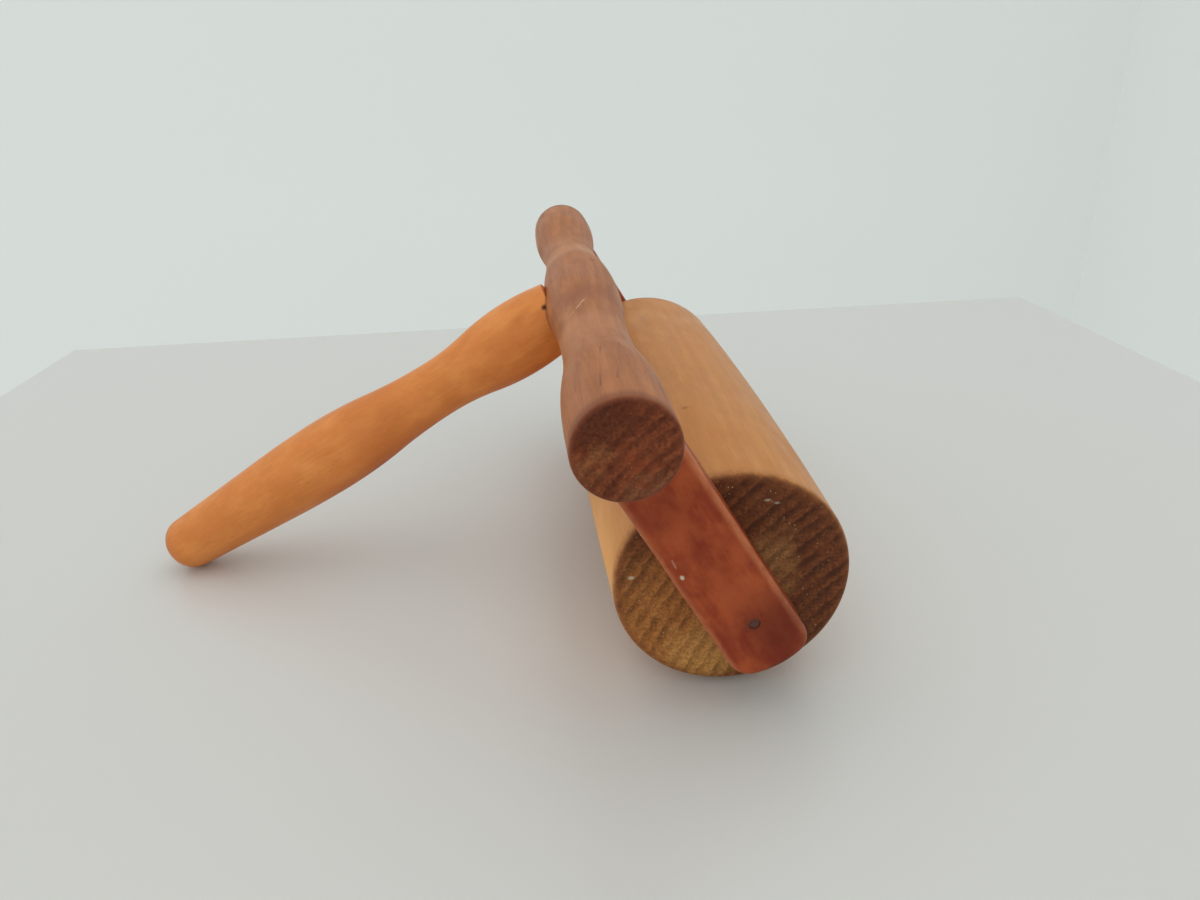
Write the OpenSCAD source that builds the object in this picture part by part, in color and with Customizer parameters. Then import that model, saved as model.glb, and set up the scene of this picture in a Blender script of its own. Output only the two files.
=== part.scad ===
// Lever nutcracker: a barrel held between two arms that carry a turned cross bar and a handle.
// The lever turns on two pins set off the barrel's axis, so the cross bar closes on the barrel.
// Origin: on the table under the middle of the barrel. +Y runs along the barrel, +Z is up.

/* [Barrel] */
// Radius of the barrel where it is fattest, mm
barrel_r = 35; // [25:0.5:45]
// Distance of that place from the barrel's middle, towards its far end, mm
barrel_peak_y = 20; // [0:1:60]
// Radius of the barrel at its near end, mm
barrel_end_r = 33; // [24:0.1:44]
// Length of the barrel, mm
barrel_len = 176; // [120:1:240]
// Rounding round the barrel's ends, mm
barrel_edge = 1.8; // [0.5:0.1:4]

/* [Cross bar] */
// Distance from the barrel's axis to the cross bar's axis, mm
bar_dist = 66.5; // [55:0.5:80]
// Length of the cross bar, mm
bar_len = 246; // [200:1:300]
// Radius of the cross bar's middle swelling, mm
bar_mid_r = 12.4; // [9:0.1:16]
// Radius of the cross bar's two necks, mm
bar_neck_r = 9.9; // [7:0.1:12]
// Distance of each neck from the middle, mm
bar_neck_y = 58; // [45:0.5:70]
// Radius of the cross bar's outer swellings, mm
bar_out_r = 12.5; // [9:0.1:16]
// Distance of each outer swelling from the middle, mm
bar_out_y = 104; // [90:0.5:115]
// Rounding round the cross bar's ends, mm
bar_edge = 1.2; // [0.4:0.1:3]

/* [Handle] */
// Radius of the swelling beside the cross bar, mm
grip_root_r = 12.85; // [9:0.05:16]
// Distance of that swelling from the cross bar's axis, mm
grip_root_s = 25; // [18:0.5:35]
// Radius of the handle's neck, mm
grip_neck_r = 9.7; // [7:0.1:12]
// Distance of the neck from the cross bar's axis, mm
grip_neck_s = 57; // [45:0.5:70]
// Radius of the handle's main swelling, mm
grip_main_r = 12.95; // [9:0.05:16]
// Distance of the main swelling from the cross bar's axis, mm
grip_main_s = 105; // [90:0.5:120]
// Length of the curved run after the main swelling, mm
grip_run = 20; // [10:1:30]
// Radius of that run's curve, mm
grip_run_r = 300; // [200:10:500]
// Rounding round the handle's tip, mm
tip_edge = 7.2; // [2:0.1:8]
// Radius of the flat left in the middle of the tip, mm
tip_flat_r = 2.7; // [1:0.05:8]

/* [Arms] */
// Width of each arm at its lower end, mm
arm_w = 23; // [16:0.5:28]
// Amount that each arm narrows up to the cross bar's axis, mm
arm_taper = 2; // [0.5:0.1:6]
// Distance of each arm's straight edge from the pins, towards the handle, mm
arm_back = 12; // [8:0.5:14]
// Thickness of each arm along the barrel, mm
arm_t = 12; // [6:0.5:22]
// Gap between each arm and the barrel's end, mm
arm_gap = 0.25; // [0.1:0.05:1]
// Radius of the arm's lower end, about the barrel's axis, mm
arm_end_r = 23; // [20:0.5:32]
// Rounding of the arm's two lower corners, mm
arm_corner = 4; // [1:0.5:8]
// Rounding along the arm's outer edges, mm
arm_edge = 2; // [0.5:0.1:4]

/* [Joints] */
// Lean of the closed lever from upright, degrees
lean = 30; // [20:0.5:45]
// Distance of the pins from the barrel's axis, on the side away from the cross bar, mm
pin_offset = 6; // [2:0.5:14]
// Radius of the pins, mm
pin_r = 1.5; // [1:0.1:3]
// Depth of the pins into the barrel, mm
pin_depth = 24; // [10:1:40]
// Depth of each pin's outer end below the arm's face, mm
pin_sink = 0.3; // [0:0.1:1]
// Radial running clearance between pin and barrel, mm
pin_clear = 0.05; // [0.02:0.01:0.1]
// Radius of the arms' round tenons, mm
arm_tenon_r = 4; // [2.5:0.1:4.5]
// Radius of the handle's round tenon, mm
grip_tenon_r = 6; // [4:0.1:8]
// Depth of every tenon past the cross bar's axis, mm
tenon_past = 2; // [0:0.5:5]
// Gap left all round a glued joint, mm
glue = 0.05; // [0.02:0.01:0.1]

/* [Hidden] */
round_fn = 96;
blend = 0.05;
lap = 8;
pin_x = pin_offset * sin(lean);
pin_z = barrel_r - pin_offset * cos(lean);
bar_up = bar_dist + pin_offset;
bar_z = barrel_r + bar_dist * cos(lean);
arm_in = barrel_len / 2 + arm_gap;
arm_mid = arm_in + arm_t / 2;
belly_run = barrel_len / 2 + barrel_peak_y;
belly_r = (belly_run * belly_run + pow(barrel_r - barrel_end_r, 2)) / (2 * (barrel_r - barrel_end_r));
barrel_far_r = barrel_r - belly_r + sqrt(belly_r * belly_r - pow(barrel_len / 2 - barrel_peak_y, 2));
arm_lean = atan(arm_taper / (arm_end_r + bar_dist));
arm_front = (arm_w - arm_back) * cos(arm_lean) - arm_end_r * sin(arm_lean);
tip_run = tip_edge + tip_flat_r * cos(lean);
tip_s = tip_edge + (bar_z - tip_run) / sin(lean);
grip_bend_s = grip_main_s + grip_run;
grip_drop = grip_run_r - sqrt(grip_run_r * grip_run_r - grip_run * grip_run);
grip_bend_r = grip_main_r - grip_drop - 0.02;
grip_slope = grip_run / sqrt(grip_run_r * grip_run_r - grip_run * grip_run);

// Radius of two equal arcs that join smoothly over a run w with a change of radius h.
// Each swelling is drawn larger by blend and carried on by lap, so it crosses the hollow's arc.
function arc_r(w, h) = (w * w + h * h) / (4 * h);

// Plane half-profile, radius along X and length along Y: a swelling cut to one stretch.
module swell(peak_r, at, curve, from, to) {
  intersection() {
    translate([peak_r - curve, at]) circle(r = curve, $fn = 1440);
    translate([0, from]) square([peak_r + 1, to - from]);
  }
}

// The hollow between two swellings, cut to one stretch.
module hollow(neck_r, at, curve, from, to) {
  difference() {
    translate([0, from]) square([neck_r + 4, to - from]);
    translate([neck_r + curve, at]) circle(r = curve, $fn = 1440);
  }
}

// Everything inside a turned end of radius r at length at, with its rim rounded.
module turned_end(r, at, edge) {
  translate([0, -1]) square([r + 20, at - edge + 1]);
  translate([0, -1]) square([r - edge, at + 1]);
  translate([r - edge, at - edge]) circle(r = edge, $fn = 48);
}

// Half of the barrel's profile from its middle to one end, with the belly's peak at peak_y.
module barrel_profile(end_r, peak_y) {
  intersection() {
    translate([barrel_r - belly_r, peak_y]) circle(r = belly_r, $fn = 3600);
    turned_end(end_r + 0.12, barrel_len / 2, barrel_edge);
  }
}

// Half of the cross bar's profile; extra widens it for the hollows cut to fit it.
module bar_profile(extra) {
  inner = arc_r(bar_neck_y, bar_mid_r - bar_neck_r - blend);
  outer = arc_r(bar_out_y - bar_neck_y, bar_out_r - bar_neck_r - blend);
  half_in = bar_neck_y / 2;
  half_out = (bar_out_y + bar_neck_y) / 2;
  intersection() {
    union() {
      swell(bar_mid_r + extra, 0, inner, 0, half_in + lap);
      hollow(bar_neck_r + extra, bar_neck_y, inner, half_in, bar_neck_y);
      hollow(bar_neck_r + extra, bar_neck_y, outer, bar_neck_y, half_out);
      swell(bar_out_r + extra, bar_out_y, outer, half_out - lap, bar_out_y);
      swell(bar_out_r + extra, bar_out_y, 600, bar_out_y, bar_len / 2);
    }
    turned_end(bar_out_r + extra - 0.25, bar_len / 2, bar_edge);
  }
}

module bar_solid(extra) {
  rotate([-90, 0, 0]) {
    rotate_extrude($fn = round_fn) {
      bar_profile(extra);
      mirror([0, 1]) bar_profile(extra);
    }
  }
}

module grip_profile() {
  root = arc_r(grip_neck_s - grip_root_s, grip_root_r - grip_neck_r - blend);
  main = arc_r(grip_main_s - grip_neck_s, grip_main_r - grip_neck_r - blend);
  half_root = (grip_root_s + grip_neck_s) / 2;
  half_main = (grip_main_s + grip_neck_s) / 2;
  tip_r = grip_bend_r - grip_slope * (tip_s - grip_bend_s);
  swell(grip_root_r, grip_root_s, root, 0, half_root + lap);
  hollow(grip_neck_r, grip_neck_s, root, half_root, grip_neck_s);
  hollow(grip_neck_r, grip_neck_s, main, grip_neck_s, half_main);
  swell(grip_main_r, grip_main_s, main, half_main - lap, grip_main_s);
  swell(grip_main_r, grip_main_s, grip_run_r, grip_main_s, grip_bend_s + lap);
  intersection() {
    polygon([[0, grip_bend_s], [grip_bend_r, grip_bend_s], [tip_r, tip_s], [0, tip_s]]);
    turned_end(tip_flat_r + tip_edge, tip_s, tip_edge);
  }
}

// The closed lever's own frame: origin on the pins, +Z towards the cross bar, -X towards the tip.
module lever_frame() {
  translate([pin_x, 0, pin_z]) rotate([0, -lean, 0]) children();
}

// Outline of an arm, up along Y from the pins: one straight edge, one that leans in, and a round end.
module arm_outline() {
  inset = arm_end_r - arm_corner;
  back_x = arm_corner - arm_back;
  back_y = -sqrt(inset * inset - back_x * back_x);
  front_u = arm_front - arm_corner;
  front_v = -sqrt(inset * inset - front_u * front_u);
  front_x = front_u * cos(arm_lean) - front_v * sin(arm_lean);
  front_y = front_u * sin(arm_lean) + front_v * cos(arm_lean);
  edge_x = front_x + arm_corner * cos(arm_lean);
  edge_y = front_y + arm_corner * sin(arm_lean);
  top_x = arm_w - arm_back - arm_taper;
  fan = 1.5 * arm_end_r / inset;
  translate([0, pin_offset]) {
    polygon([[-arm_back, bar_dist], [-arm_back, back_y], [back_x, back_y], [front_x, front_y], [edge_x, edge_y], [top_x, bar_dist]]);
    translate([back_x, back_y]) circle(r = arm_corner, $fn = 48);
    translate([front_x, front_y]) circle(r = arm_corner, $fn = 48);
    intersection() {
      circle(r = arm_end_r, $fn = 180);
      polygon([[0, 0], [back_x * fan, back_y * fan], [front_x * fan, front_y * fan]]);
    }
  }
}

// Everything on one side of an arm's long edge, up along Z, its outer face towards -Y and the edge rounded.
module arm_side(reach) {
  translate([0, 0, -2 * arm_end_r]) linear_extrude(2 * arm_end_r + bar_up + 10) {
    translate([-60, arm_edge - arm_t / 2]) square([60 + reach, arm_t - arm_edge]);
    translate([-60, -arm_t / 2]) square([60 + reach - arm_edge, arm_t]);
    translate([reach - arm_edge, arm_edge - arm_t / 2]) circle(r = arm_edge, $fn = 48);
  }
}

module arm_blank() {
  intersection() {
    translate([0, arm_t / 2, 0]) rotate([90, 0, 0]) linear_extrude(arm_t) arm_outline();
    mirror([1, 0, 0]) arm_side(arm_back);
    translate([0, 0, pin_offset]) rotate([0, -arm_lean, 0]) arm_side(arm_front);
  }
}

// Arm at the -Y end of the barrel, in the lever's frame.
module arm_shape() {
  difference() {
    translate([0, -arm_mid, 0]) arm_blank();
    translate([0, 0, bar_up]) bar_solid(glue);
    translate([0, 1 - arm_in, 0]) rotate([90, 0, 0]) cylinder(r = pin_r + 0.01, h = arm_t + 2, $fn = round_fn);
  }
  translate([0, -arm_mid, bar_up - bar_mid_r - 2]) cylinder(r = arm_tenon_r - glue, h = bar_mid_r + 2 + tenon_past - glue, $fn = round_fn);
}

module pin_shape() {
  translate([0, pin_sink - arm_in - arm_t, 0]) rotate([-90, 0, 0])
    cylinder(r = pin_r, h = arm_t + arm_gap + pin_depth - pin_sink, $fn = round_fn);
}

module barrel() {
  color([0.80, 0.60, 0.40]) difference() {
    translate([0, 0, barrel_r]) rotate([-90, 0, 0]) rotate_extrude($fn = 120) {
      barrel_profile(barrel_far_r, barrel_peak_y);
      mirror([0, 1]) barrel_profile(barrel_end_r, -barrel_peak_y);
    }
    for (end = [0, 1]) mirror([0, end, 0]) translate([pin_x, -barrel_len / 2 - 1, pin_z]) rotate([-90, 0, 0])
      cylinder(r = pin_r + pin_clear, h = pin_depth + 2, $fn = round_fn);
  }
}

module cross_bar() {
  color([0.60, 0.40, 0.30]) lever_frame() difference() {
    translate([0, 0, bar_up]) bar_solid(0);
    for (side = [-1, 1]) translate([0, side * arm_mid, bar_up - bar_mid_r - 2])
      cylinder(r = arm_tenon_r, h = bar_mid_r + 2 + tenon_past, $fn = round_fn);
    translate([tenon_past, 0, bar_up]) rotate([0, -90, 0]) cylinder(r = grip_tenon_r, h = bar_mid_r + 4, $fn = round_fn);
  }
}

module handle() {
  color([0.78, 0.50, 0.28]) lever_frame() translate([0, 0, bar_up]) {
    difference() {
      rotate([0, -90, 0]) rotate_extrude($fn = round_fn) grip_profile();
      rotate([90, 0, 0]) cylinder(r = bar_mid_r + glue, h = 60, center = true, $fn = round_fn);
    }
    translate([tenon_past - glue, 0, 0]) rotate([0, -90, 0])
      cylinder(r = grip_tenon_r - glue, h = grip_root_s, $fn = round_fn);
  }
}

module arm_near() {
  color([0.48, 0.24, 0.15]) lever_frame() arm_shape();
}

module arm_far() {
  color([0.48, 0.24, 0.15]) lever_frame() mirror([0, 1, 0]) arm_shape();
}

module pin_near() {
  color([0.55, 0.55, 0.55]) lever_frame() pin_shape();
}

module pin_far() {
  color([0.55, 0.55, 0.55]) lever_frame() mirror([0, 1, 0]) pin_shape();
}

barrel();
cross_bar();
handle();
arm_near();
arm_far();
pin_near();
pin_far();
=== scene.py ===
import math

import bpy
import numpy as np
from mathutils import Matrix, Vector, noise


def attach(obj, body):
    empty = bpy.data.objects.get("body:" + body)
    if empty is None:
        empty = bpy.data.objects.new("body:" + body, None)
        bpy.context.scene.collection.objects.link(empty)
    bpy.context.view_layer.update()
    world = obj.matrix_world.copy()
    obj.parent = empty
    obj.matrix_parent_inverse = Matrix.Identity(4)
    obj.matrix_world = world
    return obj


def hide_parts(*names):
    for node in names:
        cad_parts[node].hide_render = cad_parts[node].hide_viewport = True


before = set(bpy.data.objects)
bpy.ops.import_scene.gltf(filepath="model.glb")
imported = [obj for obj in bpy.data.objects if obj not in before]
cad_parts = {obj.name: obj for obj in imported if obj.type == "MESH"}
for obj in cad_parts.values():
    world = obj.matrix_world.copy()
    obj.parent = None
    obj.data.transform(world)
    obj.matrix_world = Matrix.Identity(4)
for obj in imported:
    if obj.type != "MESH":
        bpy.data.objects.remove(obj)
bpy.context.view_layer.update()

# Sizes that part.scad gives, here in millimetres. MM turns them into metres.
MM = 0.001
BARREL_R = 35.0
BARREL_END_R = 33.0
BARREL_LEN = 176.0
BARREL_PEAK = 20.0
BAR_DIST = 66.5
BAR_LEN = 246.0
BAR_EDGE = 1.2
BAR_MID_R = 12.4
BAR_NECK, BAR_NECK_R = 58.0, 9.9
BAR_OUT, BAR_OUT_R = 104.0, 12.5
BAR_OUT_CURVE = 600.0
GRIP_ROOT, GRIP_ROOT_R = 25.0, 12.85
GRIP_NECK, GRIP_NECK_R = 57.0, 9.7
GRIP_MAIN, GRIP_MAIN_R = 105.0, 12.95
GRIP_RUN, GRIP_CURVE = 20.0, 300.0
GRIP_SLOPE = 0.0668
TIP_EDGE = 7.2
BARREL_EDGE = 1.8
ARM_W = 23.0
ARM_TAPER = 2.0
ARM_BACK = 12.0
ARM_T = 12.0
ARM_IN = 88.25
ARM_END_R = 23.0
ARM_CORNER = 4.0
ARM_EDGE = 2.0
PIN_OFFSET = 6.0
PIN_DEPTH = 24.0
TIP_S = 173.3
LEAN = math.radians(30)
ARM_LEAN = math.atan(ARM_TAPER / (ARM_END_R + BAR_DIST))
ARM_FRONT = (ARM_W - ARM_BACK) * math.cos(ARM_LEAN) - ARM_END_R * math.sin(ARM_LEAN)

# Sizes of these meshes only, also in millimetres.
WOBBLE = 0.06
RIM_STEPS = 12
BORE_SIDES = 48
GRIP_START = 9.0
GRIP_STRAIGHT = 10.0
GRIP_START_EDGE = 0.5
ARM_INNER_EDGE = 0.4
ARM_SHORT = 6.0
HOLE_R = 1.6

# The closed lever's directions: up the arms, and out along the handle to its tip.
UP_ARM = Vector((-math.sin(LEAN), 0, math.cos(LEAN)))
OUT_GRIP = Vector((-math.cos(LEAN), 0, -math.sin(LEAN)))
ALONG = Vector((0, 1, 0))
AXIS = Vector((0, 0, BARREL_R))
PIN = AXIS - UP_ARM * PIN_OFFSET
BAR = AXIS + UP_ARM * BAR_DIST


# ---------------------------------------------------------------- shapes

def swing(s, peak_s, peak_r, neck_s, neck_r):
    """Radius on two equal arcs that join smoothly between a swelling and a neck."""
    run = abs(neck_s - peak_s)
    change = peak_r - neck_r
    curve = (run * run + change * change) / (4 * change)
    far = abs(s - peak_s)
    if far <= run / 2:
        return peak_r - curve + math.sqrt(curve * curve - far * far)
    back = run - far
    return neck_r + curve - math.sqrt(curve * curve - back * back)


def drop(radius, run):
    return radius - math.sqrt(radius * radius - run * run)


def barrel_radius(s):
    run = BARREL_LEN / 2 + BARREL_PEAK
    sag = BARREL_R - BARREL_END_R
    belly = (run * run + sag * sag) / (2 * sag)
    return BARREL_R - drop(belly, s - BARREL_PEAK)


def bar_radius(s):
    s = abs(s)
    if s < BAR_NECK:
        return swing(s, 0, BAR_MID_R, BAR_NECK, BAR_NECK_R)
    if s < BAR_OUT:
        return swing(s, BAR_OUT, BAR_OUT_R, BAR_NECK, BAR_NECK_R)
    return BAR_OUT_R - drop(BAR_OUT_CURVE, s - BAR_OUT)


def grip_radius(s):
    """Radius along the handle; its first part, hidden in the cross bar, is straight."""
    if s < GRIP_NECK:
        return swing(max(s, GRIP_STRAIGHT), GRIP_ROOT, GRIP_ROOT_R, GRIP_NECK, GRIP_NECK_R)
    if s < GRIP_MAIN:
        return swing(s, GRIP_MAIN, GRIP_MAIN_R, GRIP_NECK, GRIP_NECK_R)
    bend = GRIP_MAIN + GRIP_RUN
    if s < bend:
        return GRIP_MAIN_R - drop(GRIP_CURVE, s - GRIP_MAIN)
    return GRIP_MAIN_R - drop(GRIP_CURVE, GRIP_RUN) - GRIP_SLOPE * (s - bend)


def end_points(radius, at, rim, sign, step):
    """Points (s, r) round one rim and across the end face to its middle."""
    start = at - sign * rim
    r_rim = radius(start)
    arc = [math.pi / 2 * k / RIM_STEPS for k in range(RIM_STEPS + 1)]
    pts = [(start + sign * rim * math.sin(a), r_rim - rim + rim * math.cos(a)) for a in arc]
    rows = max(3, int((r_rim - rim) / step))
    pts += [(at, (r_rim - rim) * (1 - k / rows)) for k in range(1, rows + 1)]
    return pts


def turned_profile(radius, start, end, rims, step):
    head = end_points(radius, start, rims[0], -1, step)
    tail = end_points(radius, end, rims[1], 1, step)
    a, b = start + rims[0], end - rims[1]
    rows = int((b - a) / step)
    body = [a + (b - a) * k / rows for k in range(1, rows)]
    return head[::-1] + [(s, radius(s)) for s in body] + tail


def lathe(profile, segments, seed):
    """Turned skin along +Z: points and faces, a little uneven as hand sanding leaves it."""
    points, faces, loops = [], [], []
    for s, r in profile:
        count = segments if r > 1e-6 else 1
        loop = []
        for k in range(count):
            a = 2 * math.pi * k / segments
            spot = Vector((math.cos(a), math.sin(a), s / 34 + seed * 7))
            rough = noise.noise(spot) + 0.35 * noise.noise(spot * 2.7)
            rr = r - WOBBLE * (0.7 + rough) * min(1.0, r / 4)
            loop.append(len(points))
            points.append((rr * math.cos(a), rr * math.sin(a), s) if count > 1 else (0, 0, s))
        loops.append(loop)
    for low, high in zip(loops[:-1], loops[1:]):
        for k in range(segments):
            n = (k + 1) % segments
            if len(low) == 1:
                faces.append((low[0], high[n], high[k]))
            elif len(high) == 1:
                faces.append((low[k], low[n], high[0]))
            else:
                faces.append((low[k], low[n], high[n], high[k]))
    return np.array(points), faces


def slab(lo, hi, cells):
    """Closed box of square cells from lo to hi, as points and faces."""
    index, points, faces = {}, [], []

    def vertex(i, j, k):
        key = (i, j, k)
        if key not in index:
            index[key] = len(points)
            points.append([lo[a] + (hi[a] - lo[a]) * key[a] / cells[a] for a in range(3)])
        return index[key]

    for axis in range(3):
        u, v = (axis + 1) % 3, (axis + 2) % 3
        for side in (0, cells[axis]):
            for i in range(cells[u]):
                for j in range(cells[v]):
                    quad = []
                    for di, dj in ((0, 0), (1, 0), (1, 1), (0, 1)):
                        key = [0, 0, 0]
                        key[axis], key[u], key[v] = side, i + di, j + dj
                        quad.append(vertex(*key))
                    faces.append(tuple(quad if side else quad[::-1]))
    return np.array(points), faces


def rounded(a, b, r):
    """Distance to the corner of two surfaces at distances a and b, rounded by r."""
    out = np.hypot(np.maximum(a + r, 0), np.maximum(b + r, 0))
    return np.minimum(np.maximum(a, b) + r, 0) + out - r


def arm_distance(p):
    """Signed distance to an arm: X across, Y outwards through it, Z up from the pin."""
    x, y, z = p.T
    up = z - PIN_OFFSET
    front = x * math.cos(ARM_LEAN) + up * math.sin(ARM_LEAN) - ARM_FRONT
    side = np.maximum(-x - ARM_BACK, front)
    low = np.where(up < 0, np.hypot(x, up) - ARM_END_R, -99.0)
    outline = rounded(side, low, ARM_CORNER)
    outer = rounded(outline, y - ARM_T, ARM_EDGE)
    inner = rounded(outline, -y, ARM_INNER_EDGE)
    return np.where(y > ARM_T / 2, outer, inner)


def arm_slope(points):
    """How the distance to the arm grows along X, Y and Z at each point."""
    h = 0.01
    here = arm_distance(points)
    return np.stack([(arm_distance(points + h * e) - here) / h for e in np.eye(3)], 1)


def settle(points):
    """Moves each point onto the arm's surface, in six rounds."""
    for _ in range(6):
        slope = arm_slope(points)
        step = arm_distance(points) / np.maximum((slope ** 2).sum(1), 0.2)
        points = points - slope * step[:, None]
    return points


def uneven(points, seed, size, depth):
    """Slow hand-made waviness, as an inward amount for each point."""
    spots = [Vector(p) / size + Vector((seed * 5.3, seed, 0)) for p in points]
    return np.array([depth * (0.6 + noise.noise(s)) for s in spots])


# ---------------------------------------------------------------- pieces

def basis(x_axis, z_axis):
    z = z_axis.normalized()
    x = (x_axis - z * x_axis.dot(z)).normalized()
    return Matrix((x, z.cross(x), z)).transposed()


def bore(obj, ends):
    """Cuts a round hole along Y on the pins' line, from ends[0] to ends[1]."""
    n = BORE_SIDES
    rim = [(math.cos(a), math.sin(a)) for a in (2 * math.pi * k / n for k in range(n))]
    points = [(PIN.x + HOLE_R * c, y, PIN.z + HOLE_R * s) for y in ends for c, s in rim]
    caps = [range(n), range(2 * n - 1, n - 1, -1)]
    sides = [(k, k + n, (k + 1) % n + n, (k + 1) % n) for k in range(n)]
    mesh = bpy.data.meshes.new("bore")
    mesh.from_pydata([Vector(p) * MM for p in points], [], caps + sides)
    tool = bpy.data.objects.new("bore", mesh)
    bpy.context.scene.collection.objects.link(tool)
    cut = obj.modifiers.new("bore", "BOOLEAN")
    cut.operation = "DIFFERENCE"
    cut.solver = "EXACT"
    cut.object = tool
    bpy.context.view_layer.update()
    evaluated = obj.evaluated_get(bpy.context.evaluated_depsgraph_get())
    result = bpy.data.meshes.new_from_object(evaluated)
    obj.modifiers.clear()
    obj.data = result
    bpy.data.objects.remove(tool)


def piece(name, points, faces, origin, turn, holes=()):
    """Mesh piece in the row frame. Its grain attribute keeps the points in the wood's own frame."""
    turned = np.array(turn)
    world = (points @ turned.T + np.array(origin)) * MM
    mesh = bpy.data.meshes.new(name)
    mesh.from_pydata(world.tolist(), [], faces)
    obj = bpy.data.objects.new(name, mesh)
    bpy.context.scene.collection.objects.link(obj)
    for ends in holes:
        bore(obj, ends)
    mesh = obj.data
    world = np.empty(len(mesh.vertices) * 3)
    mesh.vertices.foreach_get("co", world)
    own = (world.reshape(-1, 3) / MM - np.array(origin)) @ turned
    layer = mesh.attributes.new("grain", "FLOAT_VECTOR", "POINT")
    layer.data.foreach_set("vector", own.astype(np.float32).ravel())
    mesh.polygons.foreach_set("use_smooth", [True] * len(mesh.polygons))
    mesh.set_sharp_from_angle(angle=math.radians(50))
    mesh.update()
    return obj


def stand_for(obj, node, body, material):
    obj.data.materials.append(material)
    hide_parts(node)
    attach(obj, body)


# ---------------------------------------------------------------- materials

class Shader:
    """A material and short ways to add its nodes; every method returns an output socket."""

    def __init__(self, name):
        self.material = bpy.data.materials.new(name)
        self.material.use_nodes = True
        self.tree = self.material.node_tree
        self.base = self.tree.nodes["Principled BSDF"]

    def join(self, target, value):
        if isinstance(value, bpy.types.NodeSocket):
            self.tree.links.new(value, target)
        else:
            target.default_value = value

    def grain(self):
        node = self.tree.nodes.new("ShaderNodeAttribute")
        node.attribute_name = "grain"
        return node.outputs["Vector"]

    def math(self, operation, a, b=0.0, c=0.0):
        node = self.tree.nodes.new("ShaderNodeMath")
        node.operation = operation
        for socket, value in zip(node.inputs, (a, b, c)):
            self.join(socket, value)
        return node.outputs[0]

    def vector(self, operation, a, b):
        node = self.tree.nodes.new("ShaderNodeVectorMath")
        node.operation = operation
        self.join(node.inputs[0], a)
        self.join(node.inputs[1], b)
        single = ("LENGTH", "DISTANCE", "DOT_PRODUCT")
        return node.outputs["Value" if operation in single else "Vector"]

    def noise(self, at, detail=2.0, rough=0.5, colour=False):
        node = self.tree.nodes.new("ShaderNodeTexNoise")
        self.join(node.inputs["Vector"], at)
        node.inputs["Scale"].default_value = 1.0
        node.inputs["Detail"].default_value = detail
        node.inputs["Roughness"].default_value = rough
        return node.outputs["Color" if colour else "Fac"]

    def cells(self, at):
        node = self.tree.nodes.new("ShaderNodeTexVoronoi")
        self.join(node.inputs["Vector"], at)
        node.inputs["Scale"].default_value = 1.0
        return node.outputs["Distance"], node.outputs["Color"]

    def smooth(self, value, low, high, to_low=0.0, to_high=1.0):
        node = self.tree.nodes.new("ShaderNodeMapRange")
        node.interpolation_type = "SMOOTHSTEP"
        for key, number in (("Value", value), ("From Min", low), ("From Max", high),
                            ("To Min", to_low), ("To Max", to_high)):
            self.join(node.inputs[key], number)
        return node.outputs["Result"]

    def mix(self, amount, a, b):
        node = self.tree.nodes.new("ShaderNodeMix")
        node.data_type = "RGBA"
        self.join(node.inputs[0], amount)
        self.join(node.inputs[6], a)
        self.join(node.inputs[7], b)
        return node.outputs[2]

    def split(self, at):
        node = self.tree.nodes.new("ShaderNodeSeparateXYZ")
        self.join(node.inputs[0], at)
        return node.outputs[0], node.outputs[1], node.outputs[2]

    def patch(self, at, middle, size, soft=0.6):
        """1 inside an ellipsoid about middle, fading to 0 at its edge."""
        away = self.vector("SUBTRACT", at, middle)
        away = self.vector("MULTIPLY", away, tuple(1 / v for v in size))
        return self.smooth(self.vector("LENGTH", away, (0, 0, 0)), 1.0, 1.0 - soft)

    def stroke(self, at, start, end, width):
        """1 along a straight stroke from start to end, fading to 0 at its width."""
        run = Vector(end) - Vector(start)
        from_start = self.vector("SUBTRACT", at, tuple(start))
        share = self.vector("DOT_PRODUCT", from_start, tuple(run / run.length_squared))
        share = self.math("MINIMUM", self.math("MAXIMUM", share, 0.0), 1.0)
        nearest = self.vector("MULTIPLY", share, tuple(run))
        return self.smooth(self.vector("DISTANCE", from_start, nearest), width, width * 0.3)

    def band(self, z, middle, outer, inner):
        """1 within inner of the middle, fading to 0 at outer."""
        return self.smooth(self.math("ABSOLUTE", self.math("SUBTRACT", z, middle)), outer, inner)

    def length(self, x, y):
        """Length of a flat vector from its two parts."""
        squares = self.math("MULTIPLY", x, x), self.math("MULTIPLY", y, y)
        return self.math("SQRT", self.math("ADD", *squares))

    def bump(self, height, distance, strength):
        node = self.tree.nodes.new("ShaderNodeBump")
        node.inputs["Strength"].default_value = strength
        node.inputs["Distance"].default_value = distance
        self.join(node.inputs["Height"], height)
        return node.outputs[0]


def rgb(r, g, b):
    """Linear colour from 0-255 display values."""
    def one(v):
        v /= 255
        return v / 12.92 if v <= 0.04045 else ((v + 0.055) / 1.055) ** 2.4
    return (one(r), one(g), one(b), 1)


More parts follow.
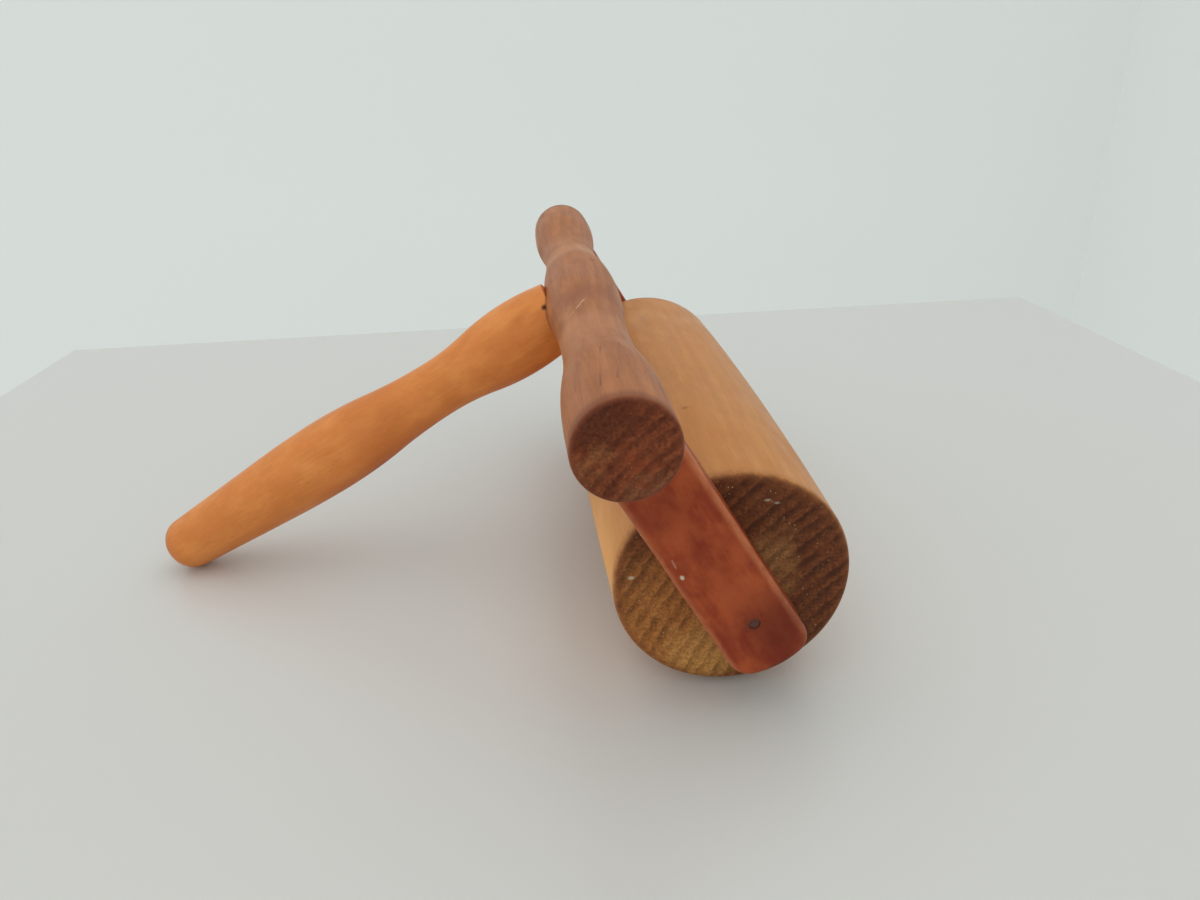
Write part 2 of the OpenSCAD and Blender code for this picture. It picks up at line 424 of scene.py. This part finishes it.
def rings(m, at, look):
    """Growth rings around an off-centre pith: a late-wood mask and a slow jitter."""
    slow = m.vector("MULTIPLY", at, (0.045, 0.045, 0.012))
    wander = m.vector("SUBTRACT", m.noise(slow, 2, 0.5, True), (0.5, 0.5, 0.5))
    wander = m.vector("MULTIPLY", wander, (look["wander"],) * 3)
    flat = m.vector("MULTIPLY", m.vector("ADD", at, wander), (1, 1, look["taper"]))
    reach = m.vector("DISTANCE", flat, (*look["pith"], 0))
    jitter = m.noise(m.vector("MULTIPLY", at, (0.3, 0.3, 0.02)), 2)
    turns = m.math("ADD", m.math("DIVIDE", reach, look["ring"]), m.math("MULTIPLY", jitter, 0.55))
    phase = m.math("FRACT", turns)
    late = m.math("MULTIPLY", m.smooth(phase, 0.1, 0.7), m.smooth(phase, 1.0, 0.82))
    year = m.noise(m.vector("MULTIPLY", flat, (0.13, 0.13, 0.0)), 1)
    return m.math("MULTIPLY", late, m.smooth(year, 0.3, 0.65, 0.35, 1.0)), jitter


def side_grain(m, at, look, late, fibre, pores):
    """Colour along the grain: fine fibres, broad streaks, mottling, rings and pores."""
    broad = m.noise(m.vector("MULTIPLY", at, (0.3, 0.3, 0.012)), 3, 0.55)
    mottle = m.noise(m.vector("MULTIPLY", at, look["mottle_scale"]), 4, 0.62)
    streaks = m.math("MULTIPLY", broad, look["broad"])
    tone = m.math("ADD", streaks, m.math("MULTIPLY", fibre, look["fibre"]))
    tone = m.math("ADD", tone, m.math("MULTIPLY", mottle, 1 - look["broad"] - look["fibre"]))
    side = m.mix(m.smooth(tone, 0.36, 0.64), look["dark"], look["light"])
    side = m.mix(m.math("MULTIPLY", late, look["ring_side"]), side, look["late"])
    blotch = m.noise(m.vector("MULTIPLY", at, look["blotch_scale"]), 3, 0.6)
    side = m.mix(m.smooth(blotch, 0.45, 0.7, 0.0, look["blotch"]), side, look["blotch_colour"])
    return m.mix(m.math("MULTIPLY", pores, look["pores"]), side, look["pore_colour"])


def end_grain(m, at, look, late, rays):
    """Colour across the grain: torn fibres, rings, soaked blotches, listed patches (painted
    reflection on the barrel's end) and painted glints.
    """
    coarse = m.noise(m.vector("MULTIPLY", at, (0.16, 0.16, 0.1)), 3, 0.6)
    cut = m.mix(m.smooth(rays, 0.32, 0.68), look["end_dark"], look["end_light"])
    cut = m.mix(m.smooth(coarse, 0.42, 0.7, 0.0, 0.7), cut, look["end_blotch"])
    cut = m.mix(m.math("MULTIPLY", late, look["ring_end"]), cut, look["end_late"])
    ragged = m.noise(m.vector("MULTIPLY", at, (0.2, 0.2, 0.2)), 3, 0.6, True)
    ragged = m.vector("MULTIPLY", m.vector("SUBTRACT", ragged, (0.5, 0.5, 0.5)), (14, 14, 0))
    for middle, size, colour, amount in look["end_patches"]:
        edge = m.patch(m.vector("ADD", at, ragged), middle, size, 0.75)
        shaded = tuple(0.5 * c for c in colour[:3]) + (1,)
        grainy = m.mix(m.smooth(rays, 0.3, 0.66), shaded, colour)
        under = m.smooth(late, 0.0, 1.0, amount, amount * 0.55)
        cut = m.mix(m.math("MULTIPLY", edge, under), cut, grainy)
    # Painted glints: small bright specks where the cut end grain sparkles.
    far, spot = m.cells(m.vector("MULTIPLY", at, (1.6, 1.6, 0.4)))
    glint = m.math("MULTIPLY", m.smooth(far, 0.3, 0.1), m.smooth(m.split(spot)[1], 0.74, 0.86))
    glint = m.math("MULTIPLY", glint, m.smooth(coarse, 0.5, 0.62))
    return m.mix(m.math("MULTIPLY", glint, look["glints"]), cut, look["glint_colour"])


def wood(name, look):
    """Solid wood cut from one log: the same rings show along the sides and across the ends."""
    m = Shader(name)
    at = m.grain()
    x, y, z = m.split(at)
    late, jitter = rings(m, at, look)
    fibre = m.noise(m.vector("MULTIPLY", at, (1.9, 1.9, 0.08)), 4, 0.6)
    far, spot = m.cells(m.vector("MULTIPLY", at, (1.1, 1.1, 0.28)))
    keep = m.smooth(m.split(spot)[0], 0.62, 0.8)
    pores = m.math("MULTIPLY", m.smooth(far, 0.24, 0.1), keep)
    rays = m.noise(m.vector("MULTIPLY", at, (1.1, 1.1, 0.4)), 5, 0.7)
    soak = look["end_mask"](m, z, jitter)
    side = side_grain(m, at, look, late, fibre, pores)
    colour = m.mix(soak, side, end_grain(m, at, look, late, rays))
    for mask, tint, amount in look["marks"](m, at, x, y, z):
        colour = m.mix(m.math("MULTIPLY", mask, amount), colour, tint)
    m.join(m.base.inputs["Base Color"], colour)

    smear = m.noise(m.vector("MULTIPLY", at, (0.12, 0.12, 0.05)), 3)
    shine = m.math("ADD", m.smooth(smear, 0.3, 0.7, look["rough"] - 0.05, look["rough"] + 0.06),
                   m.math("MULTIPLY", soak, look["end_rough"]))
    m.join(m.base.inputs["Roughness"], shine)
    m.base.inputs["Specular IOR Level"].default_value = look["gloss"]
    relief = m.math("SUBTRACT", m.math("MULTIPLY", fibre, 0.5), m.math("MULTIPLY", pores, 0.6))
    cut_relief = m.math("MULTIPLY", m.math("ADD", rays, m.math("MULTIPLY", late, 0.6)), 3.0)
    height = m.math("ADD", m.math("MULTIPLY", relief, m.math("SUBTRACT", 1.0, soak)),
                    m.math("MULTIPLY", cut_relief, soak))
    m.join(m.base.inputs["Normal"], m.bump(height, 0.00012, look["relief"]))
    return m.material


def turned_end_mask(half, rim, bleed):
    """End-grain mask of a turned piece: the faces at both ends, bleeding a little round the rim."""
    def mask(m, z, jitter):
        far = m.math("ADD", m.math("ABSOLUTE", z), m.math("MULTIPLY", jitter, bleed))
        return m.smooth(far, half - rim * 0.75 + bleed * 0.5, half - 0.02 + bleed * 0.5)
    return mask


GLUE = rgb(206, 190, 166)


def on_skin(radius, x, z):
    """Point on the upper side of a turned skin."""
    return (x, -math.sqrt(radius(z) ** 2 - x * x), z)


def barrel_marks(m, at, x, y, z):
    """Dried glue on the near end, a dark knot speck on the side, a painted shade band round each rim
    and painted bounce light low on the left side.
    """
    rim = m.smooth(m.math("ABSOLUTE", z), 83.5, 87.2)
    outer = m.smooth(m.length(x, y), 30.2, 31.6)
    torn = m.noise(m.vector("MULTIPLY", at, (0.5, 0.5, 0.4)), 3, 0.6)
    ragged = m.smooth(torn, 0.3, 0.65, 0.25, 1.0)
    # Painted shade: a ragged dark band on the side next to each rim.
    painted_rim_shade = m.math("MULTIPLY", m.math("MULTIPLY", rim, outer), ragged)
    # Painted bounce light: a warm bright patch low on the barrel's left side, kept off the rims.
    painted_bounce_light = m.patch(at, (-36, 8, -70), (24, 30, 70), 0.9)
    painted_bounce_light = m.math("MULTIPLY", painted_bounce_light, m.math("SUBTRACT", 1.0, rim))
    return (
        (painted_bounce_light, rgb(255, 186, 104), 0.9),
        (painted_rim_shade, rgb(128, 74, 40), 0.55),
        (m.patch(at, (-28.2, -3.8, -88), (1.2, 0.8, 3), 0.7), GLUE, 0.8),
        (m.patch(at, (8.1, -25.0, -88), (1.3, 0.6, 3), 0.8), GLUE, 0.5),
        (m.patch(at, (10.6, -24.0, -88), (1.1, 0.5, 3), 0.8), GLUE, 0.5),
        (m.patch(at, (-5.7, -33.7, -42.7), (1.6, 2.0, 1.6), 0.9), rgb(140, 88, 52), 0.6),
    )


def bar_marks(m, at, x, y, z):
    """Two fine checks, a scratch, a dark spot, a dark ring round each end, and bands of painted
    light and shade along the turned shape.
    """
    def line(x0, z0, x1, z1, width, colour, amount):
        start, end = on_skin(bar_radius, x0, z0), on_skin(bar_radius, x1, z1)
        return m.stroke(at, start, end, width), colour, amount

    rim = m.smooth(m.math("ABSOLUTE", z), 118.0, 121.5)
    outer = m.smooth(m.length(x, y), 10.9, 11.6)
    check, scratch = rgb(96, 54, 36), rgb(230, 190, 160)
    return (
        line(4.1, -88, 2.0, -114, 0.42, check, 0.5),
        line(8.1, -84, 5.7, -112, 0.4, check, 0.38),
        line(-2.0, -92, -4.2, -108, 0.35, check, 0.25),
        line(0.6, -43.8, 2.0, -41.8, 0.4, scratch, 0.5),
        line(2.2, -41.0, 3.4, -39.1, 0.4, scratch, 0.6),
        line(-1.6, -46.5, -0.4, -45.0, 0.35, scratch, 0.35),
        (m.patch(at, on_skin(bar_radius, 9.5, 7.1), (1.2, 1.3, 1.4), 0.6), rgb(96, 56, 40), 0.8),
        (m.math("MULTIPLY", rim, outer), rgb(112, 56, 38), 0.6),
        # Painted light and shade: a darker band and two paler bands, as the turned swellings and
        # necks meet the light.
        (m.band(z, -31.0, 9.0, 3.0), rgb(142, 84, 58), 0.45),
        (m.band(z, 34.0, 16.0, 5.0), rgb(204, 148, 108), 0.35),
        (m.band(z, -60.0, 14.0, 4.0), rgb(200, 140, 104), 0.3),
    )


def grip_marks(m, at, x, y, z):
    """The dark joint line where the handle meets the cross bar, a painted shadow in the gap there,
    painted shade on the underside and a few darker places.
    """
    joint = m.smooth(m.length(y, z), 12.95, 12.5)
    return (
        (joint, rgb(96, 50, 26), 0.5),
        # Painted shadow: a near-black dot in the gap where the handle's end meets the cross bar.
        (m.patch(at, (-10.2, -7.2, 10.9), (1.7, 1.6, 1.6), 0.5), rgb(30, 16, 10), 0.95),
        # Painted shade: darker patches on the handle's underside, by its main swelling and by its
        # root.
        (m.patch(at, (-5, 11, 88), (17, 9, 44), 0.9), rgb(190, 98, 46), 0.6),
        (m.patch(at, (-5, 11, 24), (17, 9, 26), 0.9), rgb(196, 100, 48), 0.5),
        (m.patch(at, (-4.9, 11.0, 90), (4, 5, 8), 0.9), rgb(150, 80, 40), 0.5),
        (m.patch(at, (-9.0, -7.0, 21), (3, 3, 4), 0.8), rgb(190, 104, 52), 0.4),
        (m.band(z, 80.0, 16.0, 5.0), rgb(200, 114, 58), 0.4),
        (m.smooth(z, 164.0, 172.0), rgb(196, 112, 54), 0.5),
    )


def far_arm_marks(m, at, x, y, z):
    """Pale edges on the outer face, partly wear and partly painted sheen, a grey halo round the pin
    and darker patches low down and high up.
    """
    lean_in = m.math("MULTIPLY", z, math.sin(ARM_LEAN))
    from_front = m.math("SUBTRACT", ARM_FRONT - 0.1, m.math("ADD", x, lean_in))
    nearest = m.math("MINIMUM", m.math("ADD", x, ARM_BACK), from_front)
    patchy = m.noise(m.vector("MULTIPLY", at, (0.5, 0.5, 0.25)), 3, 0.6)
    rub = m.smooth(patchy, 0.25, 0.7, 0.45, 1.0)
    # Pale edges: partly wear, partly painted sheen where the rounded edges catch the light.
    wear_and_sheen = m.math("MULTIPLY", m.smooth(nearest, 2.2, 0.5), m.smooth(y, 8.0, 11.0))
    return (
        (m.math("MULTIPLY", wear_and_sheen, rub), rgb(196, 118, 78), 0.75),
        (m.patch(at, (-0.8, 12, 0.3), (3.8, 4, 3.6), 0.9), rgb(92, 52, 40), 0.5),
        # Darker patches, one low towards the front edge and one high towards the back.
        (m.patch(at, (5, 12, -5), (14, 8, 20), 0.9), rgb(98, 34, 18), 0.65),
        (m.patch(at, (-6, 12, 46), (10, 6, 14), 0.9), rgb(112, 42, 24), 0.35),
    )


def near_arm_marks(m, at, x, y, z):
    """The near arm's marks, with its drop of dried glue and its scratch."""
    return far_arm_marks(m, at, x, y, z) + (
        (m.patch(at, (-9.0, 12, 23.7), (0.7, 2, 1.0), 0.6), GLUE, 0.95),
        (m.stroke(at, (-8.9, 12, 27.2), (-8.7, 12, 29.6), 0.35), GLUE, 0.25),
    )


BARREL_LOOK = dict(
    pith=(93, 73), ring=3.9, wander=3.0, taper=0.015, mottle_scale=(0.12, 0.12, 0.06),
    dark=rgb(192, 127, 69), light=rgb(207, 143, 82), late=rgb(182, 118, 66), ring_side=0.3,
    broad=0.25, fibre=0.3,
    blotch=0.5, blotch_scale=(0.04, 0.04, 0.02), blotch_colour=rgb(200, 128, 66),
    pores=0.35, pore_colour=rgb(150, 92, 52),
    end_dark=rgb(80, 40, 20), end_light=rgb(132, 74, 40), end_late=rgb(58, 28, 14), ring_end=0.75,
    end_blotch=rgb(110, 60, 32), glints=1.0, glint_colour=rgb(232, 204, 156),
    # Painted reflection: these patches lighten the end face, golden low on the left and paler beside
    # the arm, for the pale table it mirrors.
    end_patches=(
        ((-18, 10, -88), (26, 34, 40), rgb(196, 128, 66), 0.85),
        ((-7, 23, -88), (17, 15, 40), rgb(214, 156, 86), 0.9),
        ((10, -3, -88), (10, 18, 40), rgb(172, 122, 74), 0.85),
    ),
    end_mask=turned_end_mask(BARREL_LEN / 2, BARREL_EDGE, 0.8), marks=barrel_marks,
    rough=0.42, end_rough=0.1, gloss=0.16, relief=0.35,
)
BAR_LOOK = dict(
    pith=(18, 68), ring=3.0, wander=4.0, taper=0.01, mottle_scale=(0.15, 0.15, 0.06),
    dark=rgb(156, 95, 58), light=rgb(184, 118, 74), late=rgb(146, 88, 56), ring_side=0.35,
    broad=0.35, fibre=0.3,
    blotch=0.4, blotch_scale=(0.08, 0.08, 0.03), blotch_colour=rgb(186, 120, 78),
    pores=0.35, pore_colour=rgb(104, 62, 42),
    end_dark=rgb(96, 42, 24), end_light=rgb(140, 76, 44), end_late=rgb(66, 28, 16), ring_end=0.6,
    end_blotch=rgb(140, 66, 36), glints=0.5, glint_colour=rgb(190, 160, 128),
    end_patches=(
        ((0, -9, -123), (16, 9, 40), rgb(82, 40, 24), 0.75),
        ((-6, -1, -123), (8, 4, 40), rgb(150, 98, 58), 0.5),
        ((-2, 11, -123), (14, 5, 40), rgb(136, 96, 66), 0.45),
    ),
    end_mask=turned_end_mask(BAR_LEN / 2, BAR_EDGE, 0.6), marks=bar_marks,
    rough=0.46, end_rough=0.1, gloss=0.14, relief=0.35,
)
GRIP_LOOK = dict(
    pith=(60, 40), ring=5.0, wander=9.0, taper=0.02, mottle_scale=(0.1, 0.1, 0.07),
    dark=rgb(212, 128, 64), light=rgb(230, 148, 80), late=rgb(204, 120, 60), ring_side=0.2,
    broad=0.1, fibre=0.3,
    blotch=0.5, blotch_scale=(0.08, 0.08, 0.05), blotch_colour=rgb(218, 128, 66),
    pores=0.2, pore_colour=rgb(140, 76, 36),
    end_dark=rgb(190, 112, 52), end_light=rgb(214, 136, 70), end_late=rgb(170, 96, 42), ring_end=0.5,
    end_blotch=rgb(206, 128, 62), glints=0.0, glint_colour=GLUE, end_patches=(),
    end_mask=turned_end_mask(TIP_S, 2.0, 0.6), marks=grip_marks,
    rough=0.42, end_rough=0.02, gloss=0.16, relief=0.3,
)
ARM_LOOK = dict(
    pith=(24, -70), ring=6.0, wander=12.0, taper=0.02, mottle_scale=(0.13, 0.13, 0.08),
    dark=rgb(136, 50, 28), light=rgb(174, 82, 44), late=rgb(118, 42, 24), ring_side=0.3,
    broad=0.1, fibre=0.15,
    blotch=0.5, blotch_scale=(0.09, 0.09, 0.06), blotch_colour=rgb(178, 88, 48),
    pores=0.25, pore_colour=rgb(80, 34, 22),
    end_dark=rgb(92, 42, 28), end_light=rgb(122, 62, 40), end_late=rgb(74, 32, 22), ring_end=0.5,
    end_blotch=rgb(104, 50, 32), glints=0.0, glint_colour=GLUE, end_patches=(),
    end_mask=lambda m, z, jitter: m.smooth(z, -14.0, -17.5),
    rough=0.4, end_rough=0.05, gloss=0.16, relief=0.3,
)


# ---------------------------------------------------------------- the pieces

def make_barrel():
    half = BARREL_LEN / 2
    profile = turned_profile(barrel_radius, -half, half, (BARREL_EDGE, BARREL_EDGE), step=2.2)
    points, faces = lathe(profile, segments=192, seed=1)
    turn = basis(Vector((1, 0, 0)), ALONG)
    holes = ((-half - 2, -half + PIN_DEPTH + 1), (half - PIN_DEPTH - 1, half + 2))
    obj = piece("barrel_turned", points, faces, AXIS, turn, holes)
    stand_for(obj, "barrel", "barrel", wood("barrel_wood", BARREL_LOOK))


def make_bar():
    half = BAR_LEN / 2
    profile = turned_profile(bar_radius, -half, half, (BAR_EDGE, BAR_EDGE), step=1.5)
    points, faces = lathe(profile, segments=128, seed=2)
    obj = piece("cross_bar_turned", points, faces, BAR, basis(-OUT_GRIP, ALONG))
    stand_for(obj, "cross_bar", "lever", wood("bar_wood", BAR_LOOK))


def make_grip():
    edges = (GRIP_START_EDGE, TIP_EDGE)
    profile = turned_profile(grip_radius, GRIP_START, TIP_S, edges, step=1.6)
    points, faces = lathe(profile, segments=128, seed=3)
    obj = piece("handle_turned", points, faces, BAR, basis(ALONG, OUT_GRIP))
    stand_for(obj, "handle", "lever", wood("handle_wood", GRIP_LOOK))


def make_arm(name, node, side, seed, marks):
    """side is -1 for the arm at the -Y end of the barrel and 1 for the other."""
    top = PIN_OFFSET + BAR_DIST - ARM_SHORT
    low = PIN_OFFSET - ARM_END_R
    lo, hi = (-ARM_BACK, 0, low), (ARM_W - ARM_BACK, ARM_T, top)
    points, faces = slab(lo, hi, cells=(30, 16, 104))
    below = points[:, 2] < top - 0.01
    moved = settle(points)
    points = np.where(below[:, None], moved, np.c_[moved[:, :2], points[:, 2]])
    dent = uneven(points, seed, size=9, depth=0.12)
    points = points - arm_slope(points) * dent[:, None]
    spot = PIN + ALONG * side * ARM_IN
    turn = Matrix((-OUT_GRIP, ALONG * side, UP_ARM)).transposed()
    if side * -OUT_GRIP.cross(ALONG).dot(UP_ARM) <= 0:
        faces = [f[::-1] for f in faces]
    inner, outer = side * (ARM_IN - 1), side * (ARM_IN + ARM_T + 1)
    obj = piece(name, points, faces, spot, turn, ((min(inner, outer), max(inner, outer)),))
    stand_for(obj, node, "lever", wood(name + "_wood", dict(ARM_LOOK, marks=marks)))


def pin_metal():
    m = Shader("worn_pin")
    at = m.tree.nodes.new("ShaderNodeTexCoord").outputs["Object"]
    blur = m.noise(m.vector("MULTIPLY", at, (1800, 1800, 1800)), 3)
    tone = m.mix(m.smooth(blur, 0.3, 0.7), rgb(78, 44, 33), rgb(100, 60, 46))
    m.join(m.base.inputs["Base Color"], tone)
    m.join(m.base.inputs["Roughness"], m.smooth(blur, 0.3, 0.7, 0.6, 0.8))
    m.base.inputs["Metallic"].default_value = 0.2
    for name in ("pin_near", "pin_far"):
        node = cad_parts[name]
        node.data.materials.clear()
        node.data.materials.append(m.material)


# ---------------------------------------------------------------- stage, light, camera

def plain(name, colour, roughness):
    m = Shader(name)
    m.base.inputs["Base Color"].default_value = colour
    m.base.inputs["Roughness"].default_value = roughness
    return m.material


def stage_mesh(name, points, faces, material):
    mesh = bpy.data.meshes.new(name)
    mesh.from_pydata(points, [], faces)
    mesh.materials.append(material)
    obj = bpy.data.objects.new(name, mesh)
    bpy.context.scene.collection.objects.link(obj)


def make_stage():
    top = [(-0.343, 0.279), (0.308, 0.303), (0.308, -1.4), (-0.40, -1.4)]
    points = [(x, y, z) for z in (0.0, -0.022) for x, y in top]
    faces = [(3, 2, 1, 0), (4, 5, 6, 7), (0, 1, 5, 4), (1, 2, 6, 5), (2, 3, 7, 6), (3, 0, 4, 7)]
    stage_mesh("floor", points, faces, plain("floor_paint", rgb(213, 212, 210), 0.33))
    wall = plain("wall_paint", rgb(222, 226, 225), 0.9)
    wall_base = wall.node_tree.nodes["Principled BSDF"]
    wall_base.inputs["Emission Color"].default_value = rgb(222, 226, 225)
    wall_base.inputs["Emission Strength"].default_value = 0.06
    corners = [(-2.4, 0.82), (0.80, 0.95), (1.05, -1.6)]
    points = [(x, y, z) for z in (-0.8, 1.3) for x, y in corners]
    stage_mesh("backdrop", points, [(0, 1, 4, 3), (1, 2, 5, 4)], wall)


def area_light(name, spot, aim, size, power, colour):
    data = bpy.data.lights.new(name, "AREA")
    data.shape = "RECTANGLE"
    data.size, data.size_y = size
    data.energy = power
    data.color = colour
    obj = bpy.data.objects.new(name, data)
    bpy.context.scene.collection.objects.link(obj)
    obj.location = spot
    obj.rotation_mode = "QUATERNION"
    obj.rotation_quaternion = (Vector(spot) - Vector(aim)).to_track_quat("Z", "Y")


def make_light():
    area_light("window", spot=(0.02, 0.35, 1.15), aim=(0, 0, 0.03), size=(1.7, 1.3), power=1.9,
               colour=(0.97, 0.99, 1.0))
    world = bpy.data.worlds.new("soft_room")
    bpy.context.scene.world = world
    world.use_nodes = True
    nodes, links = world.node_tree.nodes, world.node_tree.links
    back = nodes["Background"]
    back.inputs["Color"].default_value = (0.97, 0.99, 0.96, 1)
    facing = nodes.new("ShaderNodeSeparateXYZ")
    links.new(nodes.new("ShaderNodeTexCoord").outputs["Generated"], facing.inputs[0])
    fade = nodes.new("ShaderNodeMapRange")
    links.new(facing.outputs["Y"], fade.inputs["Value"])
    for key, value in (("From Min", -0.8), ("From Max", 0.5), ("To Min", 0.87), ("To Max", 0.97)):
        fade.inputs[key].default_value = value
    links.new(fade.outputs["Result"], back.inputs["Strength"])
    bpy.context.scene.view_settings.view_transform = "Standard"


def make_camera():
    psi, pitch, roll = -0.0869, 0.4318, -0.0214
    ahead0 = Vector((-math.sin(psi), math.cos(psi), 0))
    right0 = Vector((math.cos(psi), math.sin(psi), 0))
    up0 = Vector((0, 0, 1))
    ahead = math.cos(pitch) * ahead0 - math.sin(pitch) * up0
    up1 = math.sin(pitch) * ahead0 + math.cos(pitch) * up0
    right = math.cos(roll) * right0 + math.sin(roll) * up1
    up = -math.sin(roll) * right0 + math.cos(roll) * up1
    data = bpy.data.cameras.new("camera")
    data.sensor_width = 36
    data.lens = 25.78
    data.clip_start = 0.01
    obj = bpy.data.objects.new("camera", data)
    bpy.context.scene.collection.objects.link(obj)
    place_at = Matrix.Translation((-0.05276, -0.28224, 0.16710))
    obj.matrix_world = place_at @ Matrix((right, up, -ahead)).transposed().to_4x4()
    bpy.context.scene.camera = obj


make_camera()
make_light()
make_stage()
make_barrel()
make_bar()
make_grip()
make_arm("arm_near_slab", "arm_near", -1, 4, near_arm_marks)
make_arm("arm_far_slab", "arm_far", 1, 5, far_arm_marks)
pin_metal()
